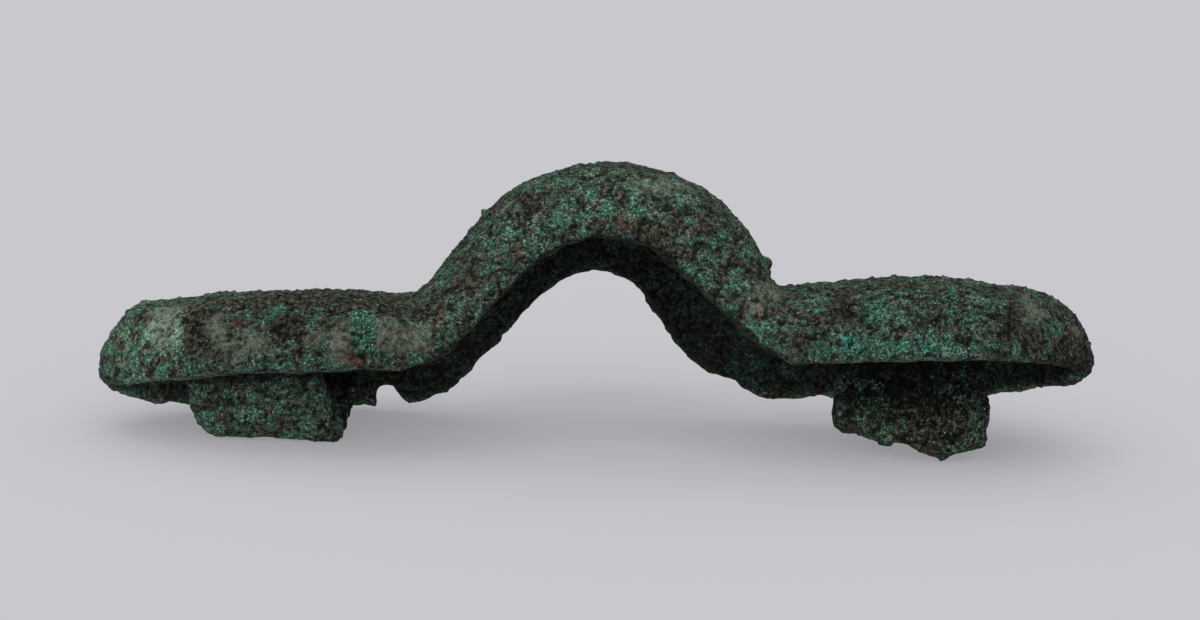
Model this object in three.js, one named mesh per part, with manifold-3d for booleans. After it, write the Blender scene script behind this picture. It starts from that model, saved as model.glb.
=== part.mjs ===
// Equal-armed bow brooch of cast copper alloy, as it came out of the ground. Two round-ended plates and the
// bow between them are one shell, open at the back. The catch hangs under one plate and the hinge lug, broken
// off short, under the other. The pin is lost. It is all one casting.
//
// Millimetres. The brooch is drawn level, with x along it, y across it, z up through the bow, the rims at
// z = 0 and the middle of the bow at x = 0. The near side is -y. At the end it is laid down as it rests.
import * as THREE from "three";
import { ConvexHull } from "three/addons/math/ConvexHull.js";
import { mergeVertices } from "three/addons/utils/BufferGeometryUtils.js";
import Module from "manifold-3d";

const wasm = await Module();
wasm.setup();

// The bow: its crown line is an arc between two straight legs, and so are the rims under it.
const BOW_CROWN = 13.25;
const BOW_RISE = 10.9; // of the crown's arc, from its centre up
const BOW_SHIFT = 0.5; // of that centre towards the hinge
const BOW_POWER = 2.12; // how square the arc is. 2 is an ellipse, as with every power here
const BOW_ARC = THREE.MathUtils.degToRad(52); // of the arc, each way from upright
const BOW_WIDTH = 15.5;
const ARCH_CROWN = 7.9;
const ARCH_RADIUS_NEAR = 6.0;
const ARCH_SHIFT_NEAR = 0.15; // of the near rim's arch towards the hinge
const LEG_SLOPE = THREE.MathUtils.degToRad(45); // of the rims' legs
const KNEE = 0.62; // how far down its leg a worn rim sags most
const VALLEY_RUN = 0.5; // of the curve between the bow's crown line and a plate's

// The plates. Lengths run from the middle of the bow or back from the tip, heights up from the rims.
const PLATE_WIDTH = 19.6;
const CATCH_PLATE = {
  side: -1,
  reach: 30.3,
  endRun: 16.3, // of the rounded end, in plan
  domeRun: 2.9, // of the end's fall, seen from the side
  domePower: 1.5,
  taper: 1.9, // how much narrower the plate is where the bow meets it
  neckRun: 10.8, // from the middle of the bow to the corner where the bow meets the plate
  bowRun: 10.2, // of the bow's arc on this side
  archRadiusFar: 4.7,
  footRun: 2.1, // of the curve between a rim's leg and its level stretch
  farLegSag: 0, // of the worn far rim below a straight leg
  shoulderHeight: 5.35,
  crestHeight: 5.75,
  crestRun: 19, // from the middle of the bow to the crest
  neckHeight: 5.4,
  tipLift: 1.3, // of the worn tip's rim above the rest
};
const HINGE_PLATE = {
  side: 1,
  reach: 29.8,
  endRun: 8.5,
  domeRun: 6.1,
  domePower: 2.3,
  taper: 1.4,
  neckRun: 10.3,
  bowRun: 10.2,
  archRadiusFar: 4.0,
  footRun: 1.4,
  farLegSag: 0.95,
  shoulderHeight: 5.35,
  crestHeight: 5.95,
  crestRun: 20,
  neckHeight: 5.5,
  tipLift: 0.4,
};

// The shell.
const RIM_WALL = 1.4;
const CROWN_WALL = 1.9;
const NECK_WALL = 1.2; // along the brooch, where the bow meets a plate
const SECTION_POWER = 2.6; // of its cross-section
const END_POWER = 2; // of the plates' ends in plan

// The catch: a sheet bent into a trough, open at the top and at both ends.
const CATCH_OUTER_END = 24.9;
const CATCH_LIP_END = 17.0;
const CATCH_ROOT_END = 14.5;
const CATCH_DEPTH = 3.0;
const CATCH_SHEET = 0.85;
const CATCH_BEND_WIDTH = 0.9; // between the middles of the two walls, at the bend
const CATCH_MOUTH_WIDTH = 4.2; // the same at the lip
const CATCH_LIP_HEIGHT = 1.4;
const CATCH_SLOPE = 4.5; // degrees, down towards the bow
const CATCH_CORNER = 2.8; // radius of the worn outer corner

// The hinge lug: a flat plate that spreads where it meets the crown. Its lower edge is a break.
const LUG_INNER_END = 14.0;
const LUG_OUTER_END = 23.45;
const LUG_DEPTH = 4.8;
const LUG_THICKNESS = 2.2;
const LUG_SPREAD = 1.6; // of its root, on each side
const LUG_ROOT = 1.9; // how far down from inside the crown's wall it spreads
// The break, from the inner end to the outer: shares of the lug's length and of its depth.
const LUG_BREAK = [
  [0.02, 0.12],
  [0.0, 0.31],
  [0.01, 0.56],
  [0.09, 0.68],
  [0.15, 0.66],
  [0.35, 0.85],
  [0.38, 0.79],
  [0.46, 0.81],
  [0.55, 0.93],
  [0.71, 1.0],
  [0.82, 0.93],
  [0.98, 0.85],
  [0.97, 0.68],
  [1.0, 0.51],
  [0.98, 0.31],
];

// Chips out of the catch plate's far rim. Their ends, at the rim and at their top, are measured from the
// middle of the bow.
const RIM_CHIPS = [
  { rimEnd: 13.6, rimStart: 11.1, topEnd: 13.6, topStart: 12.6, height: 1.3 },
  { rimEnd: 27.6, rimStart: 25.4, topEnd: 26.6, topStart: 26.2, height: 0.35 },
];

// How finely the curves are divided: one half's five stretches from the tip in, then half a cross-section.
const OUTER_STEPS = [7, 12, 4, 5, 7];
const OUTER_SECTION_STEPS = 12;
const INNER_STEPS = [5, 7, 3, 3, 5];
const INNER_SECTION_STEPS = 8;
const BEND_STEPS = 8;
const CORNER_STEPS = 5;
const ROOT_STEPS = 4;
const OVERCUT = 0.8; // how far a cut runs past what it cuts

// What is inset for the outside of the shell, and for its hollow.
const OUTSIDE = {
  crown: 0,
  neck: 0,
  rim: 0,
  drop: 0,
  steps: OUTER_STEPS,
  sectionSteps: OUTER_SECTION_STEPS,
};
const HOLLOW = {
  crown: CROWN_WALL,
  neck: NECK_WALL,
  rim: RIM_WALL,
  drop: OVERCUT,
  steps: INNER_STEPS,
  sectionSteps: INNER_SECTION_STEPS,
};

const BOW_CENTRE = BOW_CROWN - BOW_RISE;
const QUARTER = Math.PI / 2;

const point = (x, z) => new THREE.Vector2(x, z);
const line = (from, to) => new THREE.LineCurve(from, to);
const bend = (from, corner, to) => new THREE.QuadraticBezierCurve(from, corner, to);

// Part of a quarter ellipse on the x-z plane, squared by a power. Its angles are measured from upright.
class Sweep extends THREE.Curve {
  constructor(centre, run, rise, power, from, to) {
    super();
    Object.assign(this, { centre, run, rise, power, from, to });
  }

  getPoint(t) {
    const angle = THREE.MathUtils.lerp(this.from, this.to, t);
    const share = (value) => Math.max(value, 0) ** (2 / this.power);
    return point(this.run * share(Math.sin(angle)), this.rise * share(Math.cos(angle))).add(this.centre);
  }
}

// A plate's sizes, inset for the shell's outside or hollow.
function inset(plate, form) {
  return {
    ...plate,
    reach: plate.reach - form.rim,
    width: PLATE_WIDTH - 2 * form.rim,
    endRun: plate.endRun - form.rim,
    domeRun: plate.domeRun - form.rim,
    neckRun: plate.neckRun - form.neck,
    bowRun: plate.bowRun - form.crown,
    bowRise: BOW_RISE - form.crown,
    neckWidth: PLATE_WIDTH - plate.taper - 2 * form.rim,
    bowWidth: BOW_WIDTH - 2 * form.rim,
    shoulderHeight: plate.shoulderHeight - form.crown,
    crestHeight: plate.crestHeight - form.crown,
    neckHeight: plate.neckHeight - form.crown,
  };
}

// The line of the crown over one half of the brooch, in five stretches from the tip in.
function crownLine(plate) {
  const { bowRun, bowRise, domeRun, shoulderHeight, neckHeight, tipLift } = plate;
  const shoulder = point(plate.reach - domeRun, shoulderHeight);
  const domeCentre = point(shoulder.x, tipLift);
  const neck = point(plate.neckRun, neckHeight);
  const plateEnd = point(neck.x + VALLEY_RUN, neckHeight);
  const crest = point(plate.crestRun, 2 * plate.crestHeight - (shoulderHeight + neckHeight) / 2);
  const top = new Sweep(point(plate.side * BOW_SHIFT, BOW_CENTRE), bowRun, bowRise, BOW_POWER, BOW_ARC, 0);
  const legTop = top.getPoint(0);
  const legEnd = neck.clone().add(legTop.clone().sub(neck).setLength(VALLEY_RUN));
  return {
    dome: new Sweep(domeCentre, domeRun, shoulderHeight - tipLift, plate.domePower, QUARTER, 0),
    plate: bend(shoulder, crest, plateEnd),
    valley: bend(plateEnd, neck, legEnd),
    leg: line(legEnd, legTop),
    top,
  };
}

// The line of a rim under the same half, in stretches that pair with the crown's.
function rimLine(plate, form, archRadius, archShift, legSag) {
  const { footRun } = plate;
  const radius = archRadius - form.drop;
  const level = -form.drop;
  const slope = point(Math.sin(LEG_SLOPE), Math.cos(LEG_SLOPE));
  const shoulder = point(plate.reach - plate.domeRun, level);
  const archCentre = point(plate.side * archShift, ARCH_CROWN - archRadius);
  const top = new Sweep(archCentre, radius, radius, 2, LEG_SLOPE, 0);
  const legTop = top.getPoint(0);
  const foot = point(legTop.x + (legTop.y - level) / Math.tan(LEG_SLOPE), level);
  const footEnd = point(foot.x - footRun * slope.y, level + footRun * slope.x);
  const sagged = legTop.clone().lerp(footEnd, KNEE).addScaledVector(slope, -2 * legSag);
  const plateEnd = point(foot.x + footRun, level);
  const tip = point(plate.reach, level + plate.tipLift);
  return {
    dome: bend(tip, point((tip.x + shoulder.x) / 2, level), shoulder),
    plate: line(shoulder, plateEnd),
    valley: bend(plateEnd, foot, footEnd),
    leg: bend(footEnd, sagged, legTop),
    top,
  };
}

// Half the width in plan, x from the middle of the bow.
function halfWidth(plate, x) {
  const widest = plate.reach - plate.endRun;
  if (x > widest) {
    const share = Math.min((x - widest) / plate.endRun, 1);
    return (plate.width / 2) * (1 - share ** END_POWER) ** (1 / END_POWER);
  }
  const [inner, outer, from, to] = x > plate.neckRun
    ? [plate.neckWidth, plate.width, plate.neckRun, widest]
    : [plate.bowWidth, plate.neckWidth, 0, plate.neckRun];
  return THREE.MathUtils.lerp(inner, outer, THREE.MathUtils.smoothstep(x, from, to)) / 2;
}

// A cross-section: from the near rim over the crown to the far rim.
function crossSection(crown, near, far, steps) {
  const middle = near.clone().lerp(far, 0.5);
  const up = crown.clone().sub(middle);
  const points = [];
  for (let i = 0; i <= 2 * steps; i += 1) {
    const angle = QUARTER * (1 - Math.abs(1 - i / steps));
    const out = (i < steps ? near : far).clone().sub(middle);
    const rise = Math.sin(angle) ** (2 / SECTION_POWER);
    const spread = i === steps ? 0 : Math.cos(angle) ** (2 / SECTION_POWER);
    points.push(middle.clone().addScaledVector(up, rise).addScaledVector(out, spread));
  }
  return points;
}

// The cross-sections of one half, from the tip to the middle of the bow.
function halfSections(wholePlate, form) {
  const plate = inset(wholePlate, form);
  const crown = crownLine(plate);
  const near = rimLine(plate, form, ARCH_RADIUS_NEAR, ARCH_SHIFT_NEAR, 0);
  const far = rimLine(plate, form, plate.archRadiusFar, 0, plate.farLegSag);
  const place = (p, y) => new THREE.Vector3(plate.side * p.x, y, p.y);
  const sections = [];
  for (const [k, stretch] of ["dome", "plate", "valley", "leg", "top"].entries()) {
    const steps = form.steps[k];
    for (let i = sections.length ? 1 : 0; i <= steps; i += 1) {
      const c = crown[stretch].getPoint(i / steps);
      const n = near[stretch].getPoint(i / steps);
      const f = far[stretch].getPoint(i / steps);
      if (stretch === "dome") {
        n.x = c.x;
        f.x = c.x;
      }
      const half = halfWidth(plate, n.x);
      sections.push(crossSection(place(c, 0), place(n, -half), place(f, half), form.sectionSteps));
    }
  }
  return sections;
}

// A closed solid from a geometry: its shared corners are merged and its empty triangles dropped.
function solid(geometry) {
  geometry.deleteAttribute("normal");
  geometry.deleteAttribute("uv");
  const merged = mergeVertices(geometry, 1e-3);
  const corners = merged.index.array;
  const triangles = [];
  for (let i = 0; i < corners.length; i += 3) {
    const [a, b, c] = corners.slice(i, i + 3);
    if (a !== b && b !== c && c !== a) triangles.push(a, b, c);
  }
  const vertices = new Float32Array(merged.attributes.position.array);
  const mesh = new wasm.Mesh({ numProp: 3, vertProperties: vertices, triVerts: new Uint32Array(triangles) });
  return new wasm.Manifold(mesh);
}

// The skin over a row of cross-sections, closed between the rims.
function loft(sections) {
  const across = sections[0].length;
  const positions = sections.flat().flatMap((p) => p.toArray());
  const index = [];
  for (let i = 0; i < sections.length - 1; i += 1) {
    for (let j = 0; j < across; j += 1) {
      const a = i * across + j;
      const b = i * across + ((j + 1) % across);
      index.push(a, a + across, b, b, a + across, b + across);
    }
  }
  const geometry = new THREE.BufferGeometry();
  geometry.setAttribute("position", new THREE.Float32BufferAttribute(positions, 3));
  geometry.setIndex(index);
  return solid(geometry);
}

// The skin over both halves.
function body(form) {
  const catchHalf = halfSections(CATCH_PLATE, form);
  const hingeHalf = halfSections(HINGE_PLATE, form).slice(0, -1).reverse();
  return loft([...catchHalf, ...hingeHalf]);
}

// An outline drawn through.
function extrusion(outline, depth) {
  return new THREE.ExtrudeGeometry(new THREE.Shape(outline), { depth, bevelEnabled: false });
}

// An outline drawn on the x-z plane, made into a slab from one y to another.
function slabAcross(points, from, to) {
  const geometry = extrusion(points, to - from);
  geometry.rotateX(QUARTER);
  geometry.translate(0, to, 0);
  return solid(geometry);
}

// An outline drawn on the y-z plane, made into a bar from one x to another.
function barAlong(points, from, to) {
  const geometry = extrusion(points, to - from);
  geometry.applyMatrix4(new THREE.Matrix4().set(0, 0, 1, from, 1, 0, 0, 0, 0, 1, 0, 0, 0, 0, 0, 1));
  return solid(geometry);
}

// The trough's section: its middle line from the lip down round the bend, up again and straight up to the
// root, thickened to the sheet.
function troughSection() {
  const radius = CATCH_BEND_WIDTH / 2;
  const centre = CATCH_SHEET / 2 + radius - CATCH_DEPTH;
  const half = CATCH_MOUTH_WIDTH / 2;
  const lean = Math.atan2(half - radius, CATCH_LIP_HEIGHT - centre);
  const root = CATCH_PLATE.shoulderHeight - CROWN_WALL / 2;
  const middle = [point(-half, CATCH_LIP_HEIGHT)];
  const outward = [Math.PI + lean];
  for (let i = 0; i <= BEND_STEPS; i += 1) {
    outward.push(Math.PI + lean + ((Math.PI - 2 * lean) * i) / BEND_STEPS);
    middle.push(point(radius * Math.cos(outward.at(-1)), centre + radius * Math.sin(outward.at(-1))));
  }
  middle.push(point(half, CATCH_LIP_HEIGHT), point(half, root));
  outward.push(-lean / 2, 0);
  const turned = (angle) => point(Math.cos(angle), Math.sin(angle));
  const side = (reach) => middle.map((p, i) => turned(outward[i]).multiplyScalar(reach).add(p));
  return [...side(CATCH_SHEET / 2), ...side(-CATCH_SHEET / 2).reverse()];
}

// The waste past the catch's open end, which slants from the lip back to the root.
function catchEndWaste() {
  const half = CATCH_MOUTH_WIDTH / 2;
  const slant = (CATCH_LIP_END - CATCH_ROOT_END) / CATCH_MOUTH_WIDTH;
  const endAt = (y) => point(slant * (y - half) - CATCH_ROOT_END, y);
  const past = 2 * slant * CATCH_MOUTH_WIDTH - CATCH_ROOT_END;
  const outline = [endAt(-2 * half), point(past, -2 * half), point(past, 2 * half), endAt(2 * half)];
  const geometry = extrusion(outline, CATCH_DEPTH + CATCH_PLATE.crestHeight + 2 * OVERCUT);
  geometry.translate(0, 0, -CATCH_DEPTH - OVERCUT);
  return solid(geometry);
}

// The catch: the trough, cut at its open end, tipped down towards the bow and rounded at its outer corner.
function catchTrough() {
  const middle = (CATCH_OUTER_END + CATCH_ROOT_END) / 2;
  const bar = barAlong(troughSection(), -CATCH_OUTER_END - OVERCUT, OVERCUT - CATCH_ROOT_END);
  const cut = bar.subtract(catchEndWaste());
  const tipped = cut.translate([middle, 0, 0]).rotate([0, CATCH_SLOPE, 0]).translate([-middle, 0, 0]);
  const centre = point(CATCH_CORNER - CATCH_OUTER_END, CATCH_CORNER - CATCH_DEPTH);
  const low = -CATCH_DEPTH - OVERCUT;
  const outline = [point(-CATCH_OUTER_END, CATCH_PLATE.crestHeight)];
  for (let i = 0; i <= CORNER_STEPS; i += 1) {
    const angle = Math.PI + (QUARTER * i) / CORNER_STEPS;
    outline.push(point(Math.cos(angle), Math.sin(angle)).multiplyScalar(CATCH_CORNER).add(centre));
  }
  outline.push(point(centre.x, low), point(0, low), point(0, CATCH_PLATE.crestHeight));
  return tipped.intersect(slabAcross(outline, -CATCH_MOUTH_WIDTH, CATCH_MOUTH_WIDTH));
}

// The hinge lug, standing in the crown of its plate, and the root that it spreads into.
function hingeLug() {
  const length = LUG_OUTER_END - LUG_INNER_END;
  const half = LUG_THICKNESS / 2;
  const edge = LUG_BREAK.map(([along, down]) => point(LUG_INNER_END + along * length, -down * LUG_DEPTH));
  const root = HINGE_PLATE.shoulderHeight - CROWN_WALL / 2;
  const inner = edge[0].x;
  const outer = edge.at(-1).x;
  const plate = slabAcross([point(inner, root), ...edge, point(outer, root)], -half, half);
  const flare = bend(point(half, root - LUG_ROOT), point(half, root), point(half + LUG_SPREAD, root));
  const side = flare.getPoints(ROOT_STEPS);
  const otherSide = side.map((p) => point(-p.x, p.y)).reverse();
  return plate.add(barAlong([...side, ...otherSide], inner, outer));
}

// A chip's waste, from inside the hollow out past the far rim.
function chipWaste({ rimEnd, rimStart, topEnd, topStart, height }) {
  const past = -OVERCUT;
  const foot = [point(-rimStart, past), point(-rimEnd, past)];
  const out = PLATE_WIDTH / 2 + OVERCUT;
  return slabAcross([...foot, point(-topEnd, height), point(-topStart, height)], out / 2, out);
}

// The middle of a mesh's mass.
function massCentre(vertices, corners) {
  const centre = new THREE.Vector3();
  let volume = 0;
  for (let i = 0; i < corners.length; i += 3) {
    const corner = (k) => new THREE.Vector3().fromArray(vertices, 3 * corners[i + k]);
    const [a, b, c] = [0, 1, 2].map(corner);
    const part = a.dot(b.clone().cross(c)) / 6;
    volume += part;
    centre.addScaledVector(a.add(b).add(c), part / 4);
  }
  return centre.divideScalar(volume);
}

// How far a point above a hull's face stands inside the face's edges.
function footing(face, centre) {
  let margin = Infinity;
  let { edge } = face;
  for (let i = 0; i < 3; i += 1) {
    const from = edge.tail().point;
    const inward = edge.head().point.clone().sub(from).cross(face.normal).negate().normalize();
    margin = Math.min(margin, inward.dot(centre.clone().sub(from)));
    edge = edge.next;
  }
  return margin;
}

// The turn that lays the brooch down, leaning back on its far side. Of the faces of its hull that could be its
// floor, it takes the one that holds its middle of mass most safely. Its length stays along x.
function restingTurn(vertices, corners) {
  const points = [];
  for (let i = 0; i < vertices.length; i += 3) points.push(new THREE.Vector3().fromArray(vertices, i));
  const centre = massCentre(vertices, corners);
  const hull = new ConvexHull().setFromPoints(points);
  const floors = hull.faces.filter(({ normal }) => normal.z < 0 && normal.y > 0);
  const margins = floors.map((face) => footing(face, centre));
  const up = floors[margins.indexOf(Math.max(...margins))].normal.clone().negate();
  const along = new THREE.Vector3(1, 0, 0).addScaledVector(up, -up.x).normalize();
  return new THREE.Matrix4().makeBasis(along, up.clone().cross(along), up).transpose();
}

let casting = body(OUTSIDE).subtract(body(HOLLOW));
casting = casting.add(catchTrough()).add(hingeLug());
for (const chip of RIM_CHIPS) casting = casting.subtract(chipWaste(chip));

const { vertProperties, triVerts } = casting.getMesh();
const geometry = new THREE.BufferGeometry();
geometry.setAttribute("position", new THREE.BufferAttribute(new Float32Array(vertProperties), 3));
geometry.setIndex(new THREE.BufferAttribute(new Uint32Array(triVerts), 1));
geometry.applyMatrix4(restingTurn(vertProperties, triVerts));
geometry.computeBoundingBox();
const { min, max } = geometry.boundingBox;
geometry.translate(-(min.x + max.x) / 2, -(min.y + max.y) / 2, -min.z);

const corrodedBronze = new THREE.MeshStandardMaterial({ color: 0x2f3830, roughness: 0.85, metalness: 0.15 });
const brooch = new THREE.Mesh(geometry, corrodedBronze);
brooch.name = "brooch";

const part = new THREE.Group();
part.add(brooch);
export default part;
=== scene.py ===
# The looks of a corroded cast brooch, laid out as an add-on. One piece, the casting, takes the place of the
# plain solid: a fine skin over the same form, with its crust, pits, worn patches and colours. Metres, +Z up.
import math

import bpy
import numpy as np
from bpy.props import FloatProperty, FloatVectorProperty, IntProperty, PointerProperty
from mathutils import Matrix, Vector, noise
from mathutils.bvhtree import BVHTree


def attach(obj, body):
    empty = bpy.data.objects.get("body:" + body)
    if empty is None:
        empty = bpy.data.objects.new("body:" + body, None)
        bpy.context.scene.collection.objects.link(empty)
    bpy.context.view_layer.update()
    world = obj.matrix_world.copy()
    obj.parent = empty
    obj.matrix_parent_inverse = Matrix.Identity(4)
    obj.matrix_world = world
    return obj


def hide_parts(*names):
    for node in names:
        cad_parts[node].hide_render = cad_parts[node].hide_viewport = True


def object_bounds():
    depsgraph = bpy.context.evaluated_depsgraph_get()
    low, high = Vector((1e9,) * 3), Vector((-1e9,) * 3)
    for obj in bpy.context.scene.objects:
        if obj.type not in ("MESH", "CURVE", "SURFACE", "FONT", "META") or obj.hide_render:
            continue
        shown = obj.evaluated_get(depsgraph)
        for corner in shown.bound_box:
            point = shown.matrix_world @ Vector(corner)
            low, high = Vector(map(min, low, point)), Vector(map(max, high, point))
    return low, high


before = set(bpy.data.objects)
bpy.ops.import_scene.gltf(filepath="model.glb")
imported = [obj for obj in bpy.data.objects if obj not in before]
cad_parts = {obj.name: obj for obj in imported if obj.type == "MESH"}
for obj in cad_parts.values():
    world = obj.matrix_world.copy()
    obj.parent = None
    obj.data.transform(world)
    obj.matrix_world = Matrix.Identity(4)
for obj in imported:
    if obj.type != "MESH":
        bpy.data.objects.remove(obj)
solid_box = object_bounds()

bl_info = {
    "name": "Corroded brooch",
    "version": (1, 0, 0),
    "blender": (4, 5, 0),
    "location": "View3D > Sidebar > Brooch",
    "description": "Dresses the cast brooch in its corroded skin and sets its stage",
    "category": "Object",
}

MM = 0.001

# The plane of the rims as the brooch lies: which way is up from it and across it, and how high it stands.
RIM_UP = Vector((-0.0444, 0.3253, 0.9446))
ACROSS = Vector((0.0153, 0.9456, -0.325))
RIM_OFFSET = 3.515
ALONG = ACROSS.cross(RIM_UP)

# Patches on the side that shows, in millimetres: the middle, then half the size, each along the brooch,
# across it and up from the plane of its rims.
WORN = [
    ((-22.4, -9.5, 2.7), (0.55, 1.1, 0.9)),
    ((-20.2, -10.4, 1.8), (0.55, 0.7, 0.75)),
    ((-21.1, -10.4, 0.7), (0.35, 0.4, 0.4)),
    ((-16.6, -11.1, 1.9), (0.6, 0.6, 0.45)),
    ((-15.0, -11.3, 1.7), (0.5, 1.1, 1.3)),
    ((-12.1, -10.9, 2.1), (0.6, 1.2, 1.1)),
    ((-10.6, -10.5, 1.9), (0.8, 0.8, 0.7)),
    ((-4.9, -7.9, 10.1), (0.5, 0.7, 0.5)),
    ((10.5, -9.1, 4.5), (0.9, 0.9, 0.5)),
    ((9.4, -10.6, 3.3), (0.4, 0.4, 0.35)),
    ((25.7, -8.4, 4.1), (0.5, 0.8, 0.35)),
    ((26.3, -9.2, 3.0), (0.5, 0.9, 0.7)),
]
PALED = [
    ((-25.8, -7.4, 3.0), (0.8, 1.8, 1.2)),
    ((-25.2, -7.8, 3.3), (0.7, 1.6, 1.3)),
    ((4.4, -8.0, 11.2), (2.0, 1.0, 0.5)),
    ((28.7, -6.9, 2.1), (0.5, 0.5, 0.5)),
    ((-20.7, -10.4, 1.7), (2.0, 0.5, 0.5)),
]
GREENED = [
    ((-13.5, -11.1, 2.3), (0.7, 1.1, 1.1)),
    ((27.4, -8.7, 2.2), (0.5, 0.9, 0.5)),
    ((16.7, -10.5, 3.1), (0.9, 0.8, 0.6)),
    ((-18.9, -9.7, 3.7), (0.7, 0.8, 0.6)),
    ((18.1, -11.3, 0.7), (4.6, 0.5, 0.4)),
]
BLACKENED = [
    ((-23.6, -8.9, 2.8), (0.6, 1.5, 1.2)),
    ((-18.3, -10.6, 2.5), (0.9, 1.0, 0.8)),
    ((-3.5, -8.6, 10.2), (0.5, 1.3, 0.6)),
    ((14.8, -10.0, 3.5), (0.5, 1.5, 1.1)),
    ((24.9, -10.1, 2.7), (0.4, 1.2, 0.8)),
]
EARTHY = [
    ((-17.0, -8.1, 4.5), (5.5, 2.2, 0.7)),
    ((28.2, -6.3, 1.6), (1.5, 2.6, 1.5)),
    ((20.7, -2.7, -2.7), (1.7, 1.2, 1.3)),
    ((3.8, -9.3, 7.5), (1.8, 1.5, 1.0)),
]
REDDENED = [
    ((1.8, -9.5, 8.9), (0.17, 0.25, 0.3)),
    ((-14.0, -11.5, 0.5), (0.6, 0.3, 0.28)),
    ((-9.1, -10.3, 2.8), (0.2, 0.3, 0.4)),
    ((8.9, -10.7, 3.0), (0.16, 0.2, 0.2)),
    ((9.9, -10.7, 2.9), (0.24, 0.2, 0.16)),
    ((-21.2, -9.6, 3.1), (0.25, 0.3, 0.2)),
    ((15.4, -2.8, -3.7), (0.45, 1.0, 0.35)),
]
TURQUOISE = [
    ((14.9, -11.0, 1.1), (0.3, 0.3, 0.36)),
    ((-18.4, -9.5, 3.9), (0.22, 0.3, 0.18)),
    ((9.3, -10.8, 2.4), (0.2, 0.2, 0.2)),
    ((18.3, -11.3, 0.9), (0.24, 0.25, 0.26)),
    ((19.7, -11.5, 0.5), (0.2, 0.2, 0.22)),
]
PATCHES = {
    "worn": WORN,
    "paled": PALED,
    "greened": GREENED,
    "blackened": BLACKENED,
    "earthy": EARTHY,
    "reddened": REDDENED,
    "turquoise": TURQUOISE,
}
# Where each place is painted lighter or, less than nothing, darker: the middle, half the size, and by how
# much.
# Partly the crust's own tone, partly painted light and shade: painted shadow on the top of the hinge lug
# under the near rim
# and in the catch's slot, and painted light on the catch's face, on the inner face of the far rim and under
# the left tip.
SHADES = [
    ((1.3, -7.7, 10.7), (6.0, 4.0, 2.6), 0.35),
    ((-6.9, -8.7, 6.5), (3.5, 4.0, 3.0), 0.2),
    ((8.6, -8.7, 6.3), (3.5, 4.0, 3.5), -0.2),
    ((-25.4, -7.1, 3.2), (1.8, 4.0, 3.0), 0.05),
    ((-17.6, -10.3, 1.8), (6.5, 3.0, 3.0), -0.3),
    ((10.7, -9.5, 4.1), (1.8, 2.0, 1.2), 0.4),
    ((10.0, -10.5, 2.4), (1.6, 1.5, 0.9), 0.4),
    ((9.7, -10.5, 3.6), (0.6, 0.8, 0.6), 0.7),
    ((20.4, -9.4, 2.4), (6.0, 4.0, 2.2), -0.25),
    ((28.9, -5.5, 0.1), (2.2, 4.0, 3.0), -0.75),
    ((26.0, -8.8, 3.5), (0.7, 1.2, 1.2), 0.5),
    ((-19.9, -2.9, -1.6), (5.5, 2.0, 1.6), 0.6),
    ((19.7, -2.7, -0.5), (6.0, 2.2, 1.8), -1.6),
    ((20.6, -2.7, -3.1), (2.6, 2.0, 1.4), -0.35),
    ((21.2, 6.6, 1.9), (8.0, 2.5, 2.5), 1.9),
    ((-14.9, -0.4, -0.6), (0.8, 1.2, 2.6), -1.6),
    ((-26.3, -1.0, 2.3), (3.0, 7.0, 2.6), 2.4),
    ((-27.6, -3.0, 0.2), (1.6, 3.5, 0.8), 0.5),
]
# Lumps that stand up from the crust: the middle, how far and the radius.
NUBS = [
    ((10.4, -6.8, 6.5), 0.45, 0.65),
    ((10.9, -6.1, 6.2), 0.3, 0.5),
    ((-6.2, -6.7, 9.7), 0.45, 0.45),
    ((29.9, -2.8, 1.0), 0.3, 0.6),
    ((29.7, -1.0, -0.2), 0.35, 0.7),
    ((28.8, 0.9, 0.2), 0.38, 1.2),
]
# Folds and grooves: both ends, the height, less than nothing for a groove, and the width.
CREASES = [
    ((-3.0, -7.4, 11.4), (-5.1, -8.2, 9.6), 0.16, 0.2),
    ((-3.5, -8.4, 10.5), (-3.9, -8.9, 9.5), -0.3, 0.55),
    ((25.2, -8.6, 4.0), (26.6, -9.6, 1.6), -0.14, 0.25),
    ((28.5, -7.1, 2.5), (29.3, -6.1, 1.8), 0.12, 0.2),
    ((-25.1, -8.6, 0.8), (-21.5, -10.3, 0.4), -0.14, 0.25),
    ((-27.0, -4.3, 5.2), (-28.8, -4.2, 3.2), 0.14, 0.3),
    ((-23.1, -2.9, -1.5), (-22.4, -2.6, -2.3), -0.12, 0.16),
    ((-22.4, -2.6, -2.3), (-21.0, -2.4, -2.6), -0.12, 0.16),
    ((17.6, -2.9, -0.4), (18.8, -2.9, -0.8), 0.22, 0.25),
]

# Between which two limits a region fades in, in millimetres.
HOLLOW_UP = (-0.2, 0.6)
LEFT_TIP_ALONG = (-26.2, -23.2)
RIM_ACROSS = (5.6, 6.6)
NEAR_SIDE_ACROSS = (0.5, 0.0)
LIP_END_ALONG = (23.3, 25.3)
PLATE_ALONG = (11.0, 13.0)
RIGHT_TIP_ALONG = (26.7, 28.7)
RIGHT_TIP_UP = (0.6, 1.8)
LUG_ALONG = (12.2, 13.2)
LUG_UP = (-1.5, -0.5)
LUG_ACROSS = (2.5, 3.5)

# Noises: the size of the lumps in millimetres, the number of layers and where the noise starts.
WANDER_NOISES = [(0.7, 3, start) for start in (3.1, 7.7, 11.3)]
SWELL_NOISE = (2.8, 2, 9.2)
CRUST_NOISE = (0.9, 3, 1.7)
PIT_NOISE = (0.75, 2, 5.9)
WART_NOISE = (0.55, 1, 14.3)
RAGGED_NOISE = (1.35, 3, 17.9)
PIT_LIMITS = (0.28, 0.6)
WART_LIMITS = (0.3, 0.6)
PATCH_STRAY = 0.5
CREASE_STRAY = 0.12
WORN_DEPTH = 0.04
RELIEF_RANGE = 0.3

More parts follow.
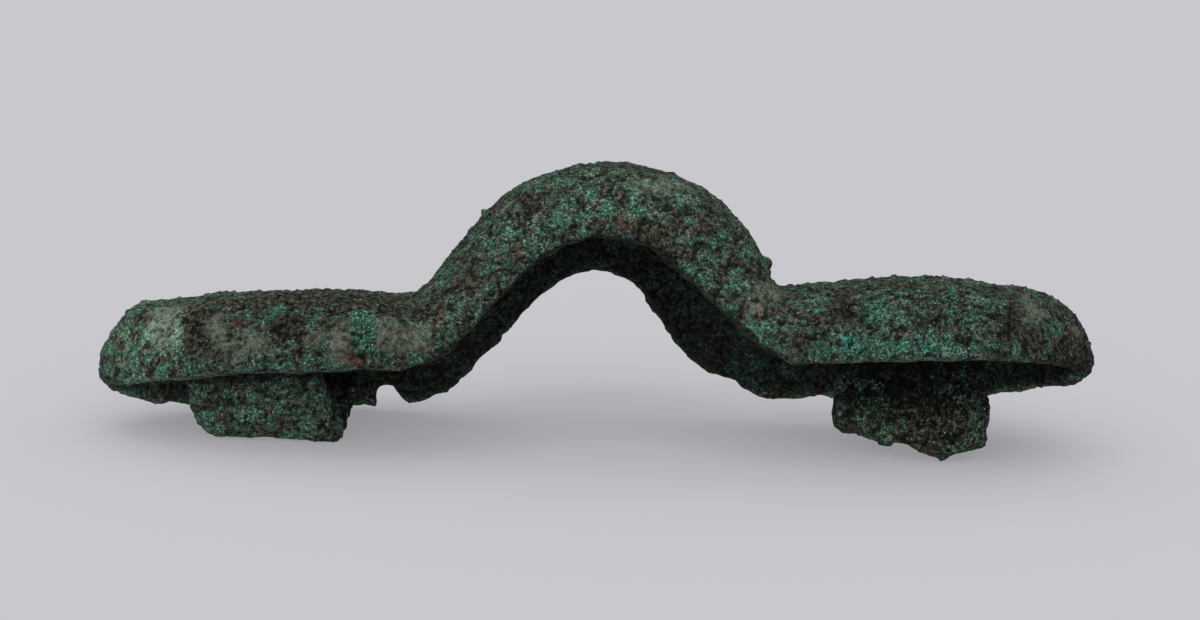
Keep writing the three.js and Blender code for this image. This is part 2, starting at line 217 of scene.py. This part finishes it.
# Shelter is looked for along these leans from upright, from just off the surface and this far.
SHELTER_LEANS = (-0.9, -0.4, 0.0, 0.4)
SHELTER_START = 0.15
SHELTER_REACH = 14.0

FLOOR_HALF = 3.0
KEY_TOWARD = Vector((-0.15, -0.86, 0.55))
CAMERA_TURNS = (-1.706, 11.515, 2.007)  # degrees round the brooch, up from the floor and about the view
CAMERA_AIM = Vector((0.123, 0.0, 8.378))


def screen(red, green, blue):
    """A colour as it is picked on screen, from 0 to 255, in the linear values that materials take."""
    shares = (value / 255 for value in (red, green, blue))
    return tuple(s / 12.92 if s <= 0.04045 else ((s + 0.055) / 1.055) ** 2.4 for s in shares)


def colour(name, description, *picked):
    """A colour property with this default."""
    return FloatVectorProperty(
        name=name, description=description, default=screen(*picked), subtype="COLOR", size=3, min=0, max=1
    )


def length(name, description, default):
    """A length property with its default in millimetres."""
    return FloatProperty(name=name, description=description, default=default * MM, subtype="DISTANCE", min=0)


class BroochSkin(bpy.types.PropertyGroup):
    """The sizes and colours of the casting's skin."""

    grid: length("Grid", "Side of the even faces that the skin is made of", 0.22)
    softening: IntProperty(
        name="Softening", description="Rounds of smoothing before the crust", default=5, min=0
    )
    swell: length("Swell", "Height of the broad unevenness", 0.09)
    crust: length("Crust", "Height of the crust's lumps", 0.075)
    grain: length("Grain", "Height of the crust's grains", 0.07)
    grain_size: length("Grain size", "How far apart the grains are", 0.4)
    pit: length("Pits", "Depth of the pits", 0.16)
    wart: length("Warts", "Height of the scattered warts", 0.12)
    ragged: length("Ragged edges", "How far the broken edges wander", 0.3)
    black: colour("Black", "Darkest crust", 12, 16, 13)
    brown: colour("Brown", "Earthy crust", 60, 58, 49)
    green: colour("Green", "Green corrosion", 35, 63, 52)
    bright: colour("Bright green", "Grains of fresh corrosion", 80, 136, 112)
    pale: colour("Pale", "Pale grey-green crust", 104, 118, 102)
    worn: colour("Worn", "Flat places where the crust is rubbed off", 85, 87, 77)
    red: colour("Red", "Red oxide under the crust", 84, 40, 30)
    turquoise: colour("Turquoise", "Blue-green spots", 52, 128, 114)
    # Pale crystals painted near-white where they glint: partly their own pale colour, partly painted
    # highlights.
    crystal_glint: colour("Crystal", "Glinting points", 225, 235, 225)


class BroochStage(bpy.types.PropertyGroup):
    """The floor, the light and the camera."""

    floor: colour("Floor", "Colour of the pale floor", 201, 200, 205)
    glow: FloatProperty(
        name="Glow",
        description="Share of the floor's brightness that it gives off itself, as a light table does",
        default=0.45, min=0, max=1,
    )
    ambient: FloatProperty(
        name="Ambient light", description="Strength of the light from all round", default=0.65
    )
    key: FloatProperty(name="Key light", description="Strength of the soft light from above", default=2.1)
    softness: FloatProperty(
        name="Softness",
        description="Angle that the key light fills",
        default=math.radians(70),
        subtype="ANGLE",
    )
    distance: FloatProperty(
        name="Camera distance", description="From the brooch to the camera", default=0.4, subtype="DISTANCE"
    )
    field: FloatProperty(
        name="Field",
        description="Width of what the camera sees at the brooch",
        default=0.0724,
        subtype="DISTANCE",
    )


class Signal:
    """A number that varies over a surface: a node's socket, for use in Python expressions."""

    def __init__(self, finish, socket):
        self.finish = finish
        self.socket = socket

    def maths(self, operation, *terms):
        """Adds a Math node of this operation on these terms."""
        return self.finish.node("Math", {"operation": operation}, dict(enumerate(terms)))

    def __add__(self, other):
        return self.maths("ADD", self, other)

    def __sub__(self, other):
        return self.maths("SUBTRACT", self, other)

    def __rsub__(self, other):
        return self.maths("SUBTRACT", other, self)

    def __mul__(self, other):
        return self.maths("MULTIPLY", self, other)

    def most(self, other):
        """The larger of the two."""
        return self.maths("MAXIMUM", self, other)

    def step(self, low, high):
        """0 below one value and 1 above the other. It falls where the first is larger."""
        settings = {"interpolation_type": "SMOOTHSTEP"}
        if low < high:
            return self.finish.node("MapRange", settings, {"Value": self, "From Min": low, "From Max": high})
        return 1 - self.step(high, low)


class Finish:
    """A material and its nodes."""

    def __init__(self, name):
        self.material = bpy.data.materials.new(name)
        self.material.use_nodes = True
        self.tree = self.material.node_tree
        self.tree.nodes.clear()

    def node(self, kind, settings=None, values=None, output=0):
        """Adds a node of this type, with its settings, then the values or links of its sockets."""
        made = self.tree.nodes.new("ShaderNode" + kind)
        for name, value in (settings or {}).items():
            setattr(made, name, value)
        for name, value in (values or {}).items():
            if isinstance(value, Signal):
                self.tree.links.new(value.socket, made.inputs[name])
            else:
                made.inputs[name].default_value = value
        return Signal(self, made.outputs[output]) if made.outputs else None

    def blend(self, share, under, over):
        """Lays one colour over another by a share."""
        opaque = [c if isinstance(c, Signal) else tuple(c) + (1,) for c in (under, over)]
        settings = {"data_type": "RGBA", "clamp_factor": True}
        return self.node("Mix", settings, {0: share, 6: opaque[0], 7: opaque[1]}, output=2)

    def mottle(self, place, size, detail, roughness):
        """Cloudy noise with lumps of this size, in millimetres."""
        values = {"Vector": place, "Scale": 1 / size, "Detail": detail, "Roughness": roughness}
        return self.node("TexNoise", values=values)

    def trait(self, name):
        """A number kept on the mesh."""
        return self.node("Attribute", {"attribute_name": name}, output=2)

    def surface(self, values):
        """Ends the material in one surface shader."""
        shader = self.node("BsdfPrincipled", values=values)
        self.node("OutputMaterial", values={"Surface": shader})
        return self.material


def smooth(low, high, values):
    """0 where the values are at one limit and 1 at the other, smooth between them."""
    share = np.clip((values - low) / (high - low), 0, 1)
    return share * share * (3 - 2 * share)


def lumps(points, size, layers, start):
    """Noise from about -1 to 1 at each point, in lumps of this size with finer layers on them."""
    moved = Vector((start, -start, 2 * start))
    return np.array([noise.fractal(p / size + moved, 1.0, 2.0, layers) for p in points])


def grains(points, size):
    """Round grains this far apart: 1 on top of each, 0 between them."""
    nearest = np.array([noise.voronoi(p / size)[0][0] for p in points])
    return 1 - smooth(0.0, 0.75, nearest)


def patches(places, boxes):
    """How far each place is inside one of the boxes, whose corners are rounded: 1 inside and 0 outside."""
    mask = np.zeros(len(places))
    for middle, half in boxes:
        away = np.abs((places - np.array(middle)) / np.array(half))
        mask = np.maximum(mask, 1 - smooth(0.6, 1.5, (away**4).sum(1) ** 0.25))
    return mask


def shading(places):
    """How much lighter each place is painted or, less than nothing, darker: partly the crust's own tone,
    partly painted light and shade.
    """
    total = np.zeros(len(places))
    for middle, half, share in SHADES:
        total += share * np.exp(-(((places - middle) / half) ** 2).sum(1))
    return total


def sheltered(places, normals, node):
    """How far each place is covered by the casting above it: 1 in the hollow, 0 in the open."""
    corners = [v.co / MM for v in node.data.vertices]
    shell = BVHTree.FromPolygons(corners, [p.vertices for p in node.data.polygons])
    side = RIM_UP.cross(Vector((1, 0, 0)))
    tilted = [(RIM_UP + side * lean).normalized() for lean in SHELTER_LEANS]
    covered = np.zeros(len(places))
    for k, (place, normal) in enumerate(zip(places, normals, strict=True)):
        start = Vector(place + SHELTER_START * normal)
        hits = [shell.ray_cast(start, way, SHELTER_REACH)[0] for way in tilted]
        covered[k] = sum(hit is not None for hit in hits) / len(tilted)
    return covered


def even_skin(node, name, grid):
    """A new object with even faces over the surface of a solid."""
    piece = bpy.data.objects.new(name, node.data.copy())
    bpy.context.scene.collection.objects.link(piece)
    remesh = piece.modifiers.new("even_faces", "REMESH")
    remesh.mode = "VOXEL"
    remesh.voxel_size = grid
    seen = piece.evaluated_get(bpy.context.evaluated_depsgraph_get())
    skin = bpy.data.meshes.new_from_object(seen)
    piece.modifiers.clear()
    piece.data = skin
    return piece


def read(mesh, what):
    """The places or the normals of a mesh's vertices."""
    flat = np.empty(len(mesh.vertices) * 3)
    mesh.vertices.foreach_get(what, flat)
    return flat.reshape(-1, 3)


def from_rims(places):
    """The places along the brooch, across it and up from the plane of its rims."""
    return places @ np.array([ALONG, ACROSS, RIM_UP]).T - (0, 0, RIM_OFFSET)


def soften(mesh, rounds):
    """Smooths the flats of the solid away, and its breaks only a little."""
    ends = np.empty(len(mesh.edges) * 2, dtype=int)
    mesh.edges.foreach_get("vertices", ends)
    near, far = ends.reshape(-1, 2).T
    count = len(mesh.vertices)
    places = read(mesh, "co")
    share = 0.5 - 0.42 * broken_lug(places / MM)[:, None]
    neighbours = np.bincount(near, minlength=count) + np.bincount(far, minlength=count)
    for _ in range(rounds):
        total = np.stack(
            [
                np.bincount(near, places[far, axis], count) + np.bincount(far, places[near, axis], count)
                for axis in range(3)
            ],
            axis=1,
        )
        places = places + share * (total / neighbours[:, None] - places)
    mesh.vertices.foreach_set("co", places.ravel())
    mesh.update()


def broken_lug(places):
    """1 on the part of the hinge lug that hangs free, 0 elsewhere."""
    along, across, height = from_rims(places).T
    below = 1 - smooth(*LUG_UP, height)
    return below * smooth(*LUG_ALONG, along) * (1 - smooth(*LUG_ACROSS, np.abs(across)))


def marks(places, wander):
    """How far the nubs, folds and grooves stand up at each place."""
    rise = np.zeros(len(places))
    for middle, stand, radius in NUBS:
        away = np.linalg.norm(places - np.array(middle), axis=1)
        rise += stand * (1 - smooth(0.15 * radius, radius, away))
    for start, end, stand, width in CREASES:
        start, course = np.array(start), np.array(end) - np.array(start)
        share = np.clip((places - start) @ course / (course @ course), 0, 1)
        away = np.linalg.norm(places + CREASE_STRAY * wander - start - share[:, None] * course, axis=1)
        rise += stand * np.exp(-((away / width) ** 2))
    return rise


def corrode(piece, node, skin):
    """Raises the crust, grains and nubs on the piece and sinks its pits, and keeps the masks on its mesh."""
    mesh = piece.data
    places = read(mesh, "co") / MM
    normals = read(mesh, "normal")
    points = [Vector(p) for p in places]
    set_out = from_rims(places)
    along, across, height = set_out.T

    wander = np.stack([lumps(points, *each) for each in WANDER_NOISES], axis=1)
    loose = set_out + PATCH_STRAY * wander
    masks = {name: patches(loose, boxes) for name, boxes in PATCHES.items()}
    # Painted light and shade, with some of the crust's own tone, from the table of shades.
    masks["shade"] = shading(set_out)
    # Painted shade in the hollow under the rims: the more the casting covers a place from above, the darker
    # it is painted,
    # less so towards the left tip.
    inside = smooth(*HOLLOW_UP, height) * (0.45 + 0.55 * smooth(*LEFT_TIP_ALONG, along))
    masks["hollow_painted_shade"] = sheltered(places, normals, node) * inside

    near_side = smooth(*NEAR_SIDE_ACROSS, across)
    facing_down = 1 - smooth(0.1, 0.5, normals @ np.array(RIM_UP))
    edge_on = 1 - smooth(0.45, 0.8, np.abs(normals @ np.array(ACROSS)))
    rim = smooth(*RIM_ACROSS, np.abs(across)) * facing_down
    # The near rim's downward edge: smoother, and painted paler, partly its own pale crust and partly a
    # painted highlight.
    masks["lip"] = rim * edge_on * (1 - smooth(*LIP_END_ALONG, along)) * near_side
    tip = smooth(*RIGHT_TIP_ALONG, along) * (1 - smooth(*RIGHT_TIP_UP, height))
    wavy = rim * (1 - 0.8 * smooth(*PLATE_ALONG, np.abs(along)) * near_side)

    rough = (1 - 0.6 * masks["worn"]) * (1 - 0.4 * masks["hollow_painted_shade"]) * (1 - 0.5 * masks["lip"])
    rough *= (1 - 0.35 * rim) * (1 + 0.4 * tip)
    crust = skin.crust / MM * lumps(points, *CRUST_NOISE)
    grain = skin.grain / MM * (grains(points, skin.grain_size / MM) - 0.45)
    pits = -skin.pit / MM * smooth(*PIT_LIMITS, lumps(points, *PIT_NOISE))
    warts = skin.wart / MM * smooth(*WART_LIMITS, lumps(points, *WART_NOISE))
    relief = crust + grain + pits + warts
    masks["relief"] = np.clip(0.5 + relief / RELIEF_RANGE, 0, 1)
    broken = (0.8 * tip + 0.4 * broken_lug(places) + 0.8 * wavy).clip(0, 1)
    rise = skin.swell / MM * lumps(points, *SWELL_NOISE) + rough * relief
    rise += skin.ragged / MM * lumps(points, *RAGGED_NOISE) * broken
    rise += marks(set_out, wander) - WORN_DEPTH * masks["worn"]

    moved = (places + rise[:, None] * normals) * MM
    low, high = (np.array(corner) for corner in solid_box)
    mesh.vertices.foreach_set("co", np.clip(moved, low, high).ravel())
    for name, values in masks.items():
        mesh.attributes.new(name, "FLOAT", "POINT").data.foreach_set("value", values)
    mesh.update()
    mesh.shade_smooth()


def corroded_bronze(skin):
    """Black and earthy crust under green corrosion, with worn, red and turquoise places and pale crystals,
    and painted light, shade and glints.
    """
    finish = Finish("corroded_bronze")
    object_place = finish.node("TexCoord", output=3)
    place = finish.node("VectorMath", {"operation": "SCALE"}, {0: object_place, "Scale": 1 / MM})
    aside = finish.node("VectorMath", values={0: place, 1: (31, 17, 5)})
    broad = finish.mottle(place, 2.6, 3.0, 0.6)
    middling = finish.mottle(place, 0.75, 3.0, 0.6)
    fine = finish.mottle(place, 0.32, 3.0, 0.75)
    other = finish.mottle(aside, 0.3, 3.0, 0.75)
    finest = finish.mottle(aside, 0.13, 2.0, 0.7)
    relief = finish.trait("relief")
    worn = finish.trait("worn")
    paled = finish.trait("paled")
    blackened = finish.trait("blackened")
    hollow_painted_shade = finish.trait("hollow_painted_shade")

    tone = finish.blend(other.step(0.38, 0.6), skin.black, skin.brown)
    greening = middling * 0.95 + broad * 0.5 + fine * 0.65 + relief * 0.2 - finish.trait("earthy") * 0.2
    greening = greening + finish.trait("greened") * 0.3 - blackened * 0.35
    tone = finish.blend(greening.step(1.02, 1.36) * 0.85, tone, skin.green)
    tone = finish.blend(finest.step(0.48, 0.68) * greening.step(1.07, 1.36) * 0.7, tone, skin.bright)
    ashen = (broad * 0.4 + other * 0.6 + finest * 0.5).step(0.78, 0.95)
    tone = finish.blend(ashen * (1 - blackened) * 0.6, tone, skin.pale)
    tone = finish.blend(paled * fine.step(0.3, 0.6) * 0.5, tone, skin.pale)
    rubbed = worn * (other.step(0.3, 0.55) * 0.7 + 0.3)
    tone = finish.blend(rubbed * 0.7, tone, skin.worn)
    # The near rim's edge painted paler: partly its own pale crust, partly a painted highlight.
    tone = finish.blend(finish.trait("lip") * other.step(0.35, 0.6) * 0.25, tone, skin.pale)
    tone = finish.blend(finish.trait("turquoise") * other.step(0.35, 0.55) * 0.7, tone, skin.turquoise)
    tone = finish.blend(finish.trait("reddened") * fine.step(0.38, 0.52) * 0.8, tone, skin.red)
    hole = fine.step(0.45, 0.37).most(relief.step(0.28, 0.1))
    tone = finish.blend(hole * (1 - rubbed * 0.7) * (1 - paled * 0.5) * 0.8, tone, skin.black)
    # Painted light and shade that scales the colour: speckles from the noises, partly the crust's own tone
    # and partly
    # blackened, and painted shade in the hollow under the rims.
    # painted light and shade on its grains, calmer on worn and pale places; then the table of shades, darker
    # where
    light = (finest - 0.5) * 3.0 + (other - 0.5) * 2.8 + (middling - 0.5) * 1.6
    light = light * (1 - rubbed * 0.3) * (1 - paled * 0.3)
    light = light + finish.trait("shade") - blackened * 0.5 + 1.45
    light = light.most(0.15) * (1 - hollow_painted_shade * 0.72)
    tone = finish.node("VectorMath", {"operation": "SCALE"}, {0: tone, "Scale": light})
    # Painted highlights: near-white glints on scattered pale crystals, none in the hollow; the glints are
    # smoother too.
    painted_glint = finish.mottle(aside, 0.1, 0.0, 0.5).step(0.83, 0.86) * (1 - hollow_painted_shade)
    tone = finish.blend(painted_glint * 0.7, tone, skin.crystal_glint)

    depth = fine * 0.7 + other * 0.5 + finest * 0.35
    bump_values = {"Height": depth, "Strength": 1.0, "Distance": 0.0004}
    return finish.surface(
        {
            "Base Color": tone,
            "Roughness": 0.85 - painted_glint * 0.5 - rubbed * 0.2,
            "Normal": finish.node("Bump", values=bump_values),
            "Specular IOR Level": 0.1,
        }
    )


class BROOCH_OT_casting(bpy.types.Operator):
    """Lays the corroded skin over the casting"""

    bl_idname = "brooch.casting"
    bl_label = "Casting"

    def execute(self, context):
        skin = context.scene.brooch_skin
        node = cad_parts["brooch"]
        piece = even_skin(node, "casting", skin.grid)
        soften(piece.data, skin.softening)
        corrode(piece, node, skin)
        piece.data.materials.clear()
        piece.data.materials.append(corroded_bronze(skin))
        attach(piece, "root")
        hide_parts("brooch")
        return {"FINISHED"}


class BROOCH_OT_stage(bpy.types.Operator):
    """Sets the floor, the soft light and the camera"""

    bl_idname = "brooch.stage"
    bl_label = "Stage"

    def execute(self, context):
        stage = context.scene.brooch_stage
        self.lay_floor(stage)
        self.light(context.scene, stage)
        self.place_camera(context.scene, stage)
        return {"FINISHED"}

    def lay_floor(self, stage):
        """A wide plain floor."""
        corners = [(x * FLOOR_HALF, y * FLOOR_HALF, 0) for x, y in ((-1, -1), (1, -1), (1, 1), (-1, 1))]
        mesh = bpy.data.meshes.new("floor")
        mesh.from_pydata(corners, [], [(0, 1, 2, 3)])
        floor = bpy.data.objects.new("floor", mesh)
        bpy.context.scene.collection.objects.link(floor)
        finish = Finish("pale_floor")
        tone = tuple(share * (1 - stage.glow) for share in stage.floor) + (1,)
        values = {"Base Color": tone, "Roughness": 1.0, "Specular IOR Level": 0.0}
        values |= {"Emission Color": tuple(stage.floor) + (1,), "Emission Strength": stage.glow}
        mesh.materials.append(finish.surface(values))

    def light(self, scene, stage):
        """An even light from all round, and a soft one from above the camera."""
        world = bpy.data.worlds.new("studio")
        world.use_nodes = True
        background = world.node_tree.nodes["Background"]
        background.inputs["Color"].default_value = (1, 1, 1, 1)
        background.inputs["Strength"].default_value = stage.ambient
        scene.world = world
        lamp = bpy.data.lights.new("key", "SUN")
        lamp.energy = stage.key
        lamp.angle = stage.softness
        key = bpy.data.objects.new("key", lamp)
        key.rotation_euler = KEY_TOWARD.to_track_quat("Z", "Y").to_euler()
        scene.collection.objects.link(key)
        scene.view_settings.view_transform = "Standard"

    def place_camera(self, scene, stage):
        """The camera, a little above the floor and turned as the photographer's was."""
        azimuth, elevation, roll = (math.radians(angle) for angle in CAMERA_TURNS)
        level = math.cos(elevation)
        back = Vector((math.sin(azimuth) * level, -math.cos(azimuth) * level, math.sin(elevation)))
        right = Vector((0, 0, 1)).cross(back).normalized()
        turn = Matrix((right, back.cross(right), back)).transposed() @ Matrix.Rotation(roll, 3, "Z")
        lens = bpy.data.cameras.new("camera")
        lens.lens = lens.sensor_width * stage.distance / stage.field
        lens.clip_start = 0.01
        camera = bpy.data.objects.new("camera", lens)
        place = CAMERA_AIM * MM + back * stage.distance
        camera.matrix_world = Matrix.Translation(place) @ turn.to_4x4()
        scene.collection.objects.link(camera)
        scene.camera = camera


class BROOCH_PT_panel(bpy.types.Panel):
    """The brooch's pieces and their settings"""

    bl_label = "Brooch"
    bl_space_type = "VIEW_3D"
    bl_region_type = "UI"
    bl_category = "Brooch"

    def draw(self, context):
        for operator, settings in (("brooch.casting", "brooch_skin"), ("brooch.stage", "brooch_stage")):
            self.layout.operator(operator)
            group = getattr(context.scene, settings)
            for name in type(group).__annotations__:
                self.layout.prop(group, name)


CLASSES = (BroochSkin, BroochStage, BROOCH_OT_casting, BROOCH_OT_stage, BROOCH_PT_panel)


def register():
    for made in CLASSES:
        bpy.utils.register_class(made)
    bpy.types.Scene.brooch_skin = PointerProperty(type=BroochSkin)
    bpy.types.Scene.brooch_stage = PointerProperty(type=BroochStage)


def unregister():
    del bpy.types.Scene.brooch_stage
    del bpy.types.Scene.brooch_skin
    for made in reversed(CLASSES):
        bpy.utils.unregister_class(made)


def main():
    register()
    bpy.ops.brooch.casting()
    bpy.ops.brooch.stage()


if __name__ == "__main__":
    main()
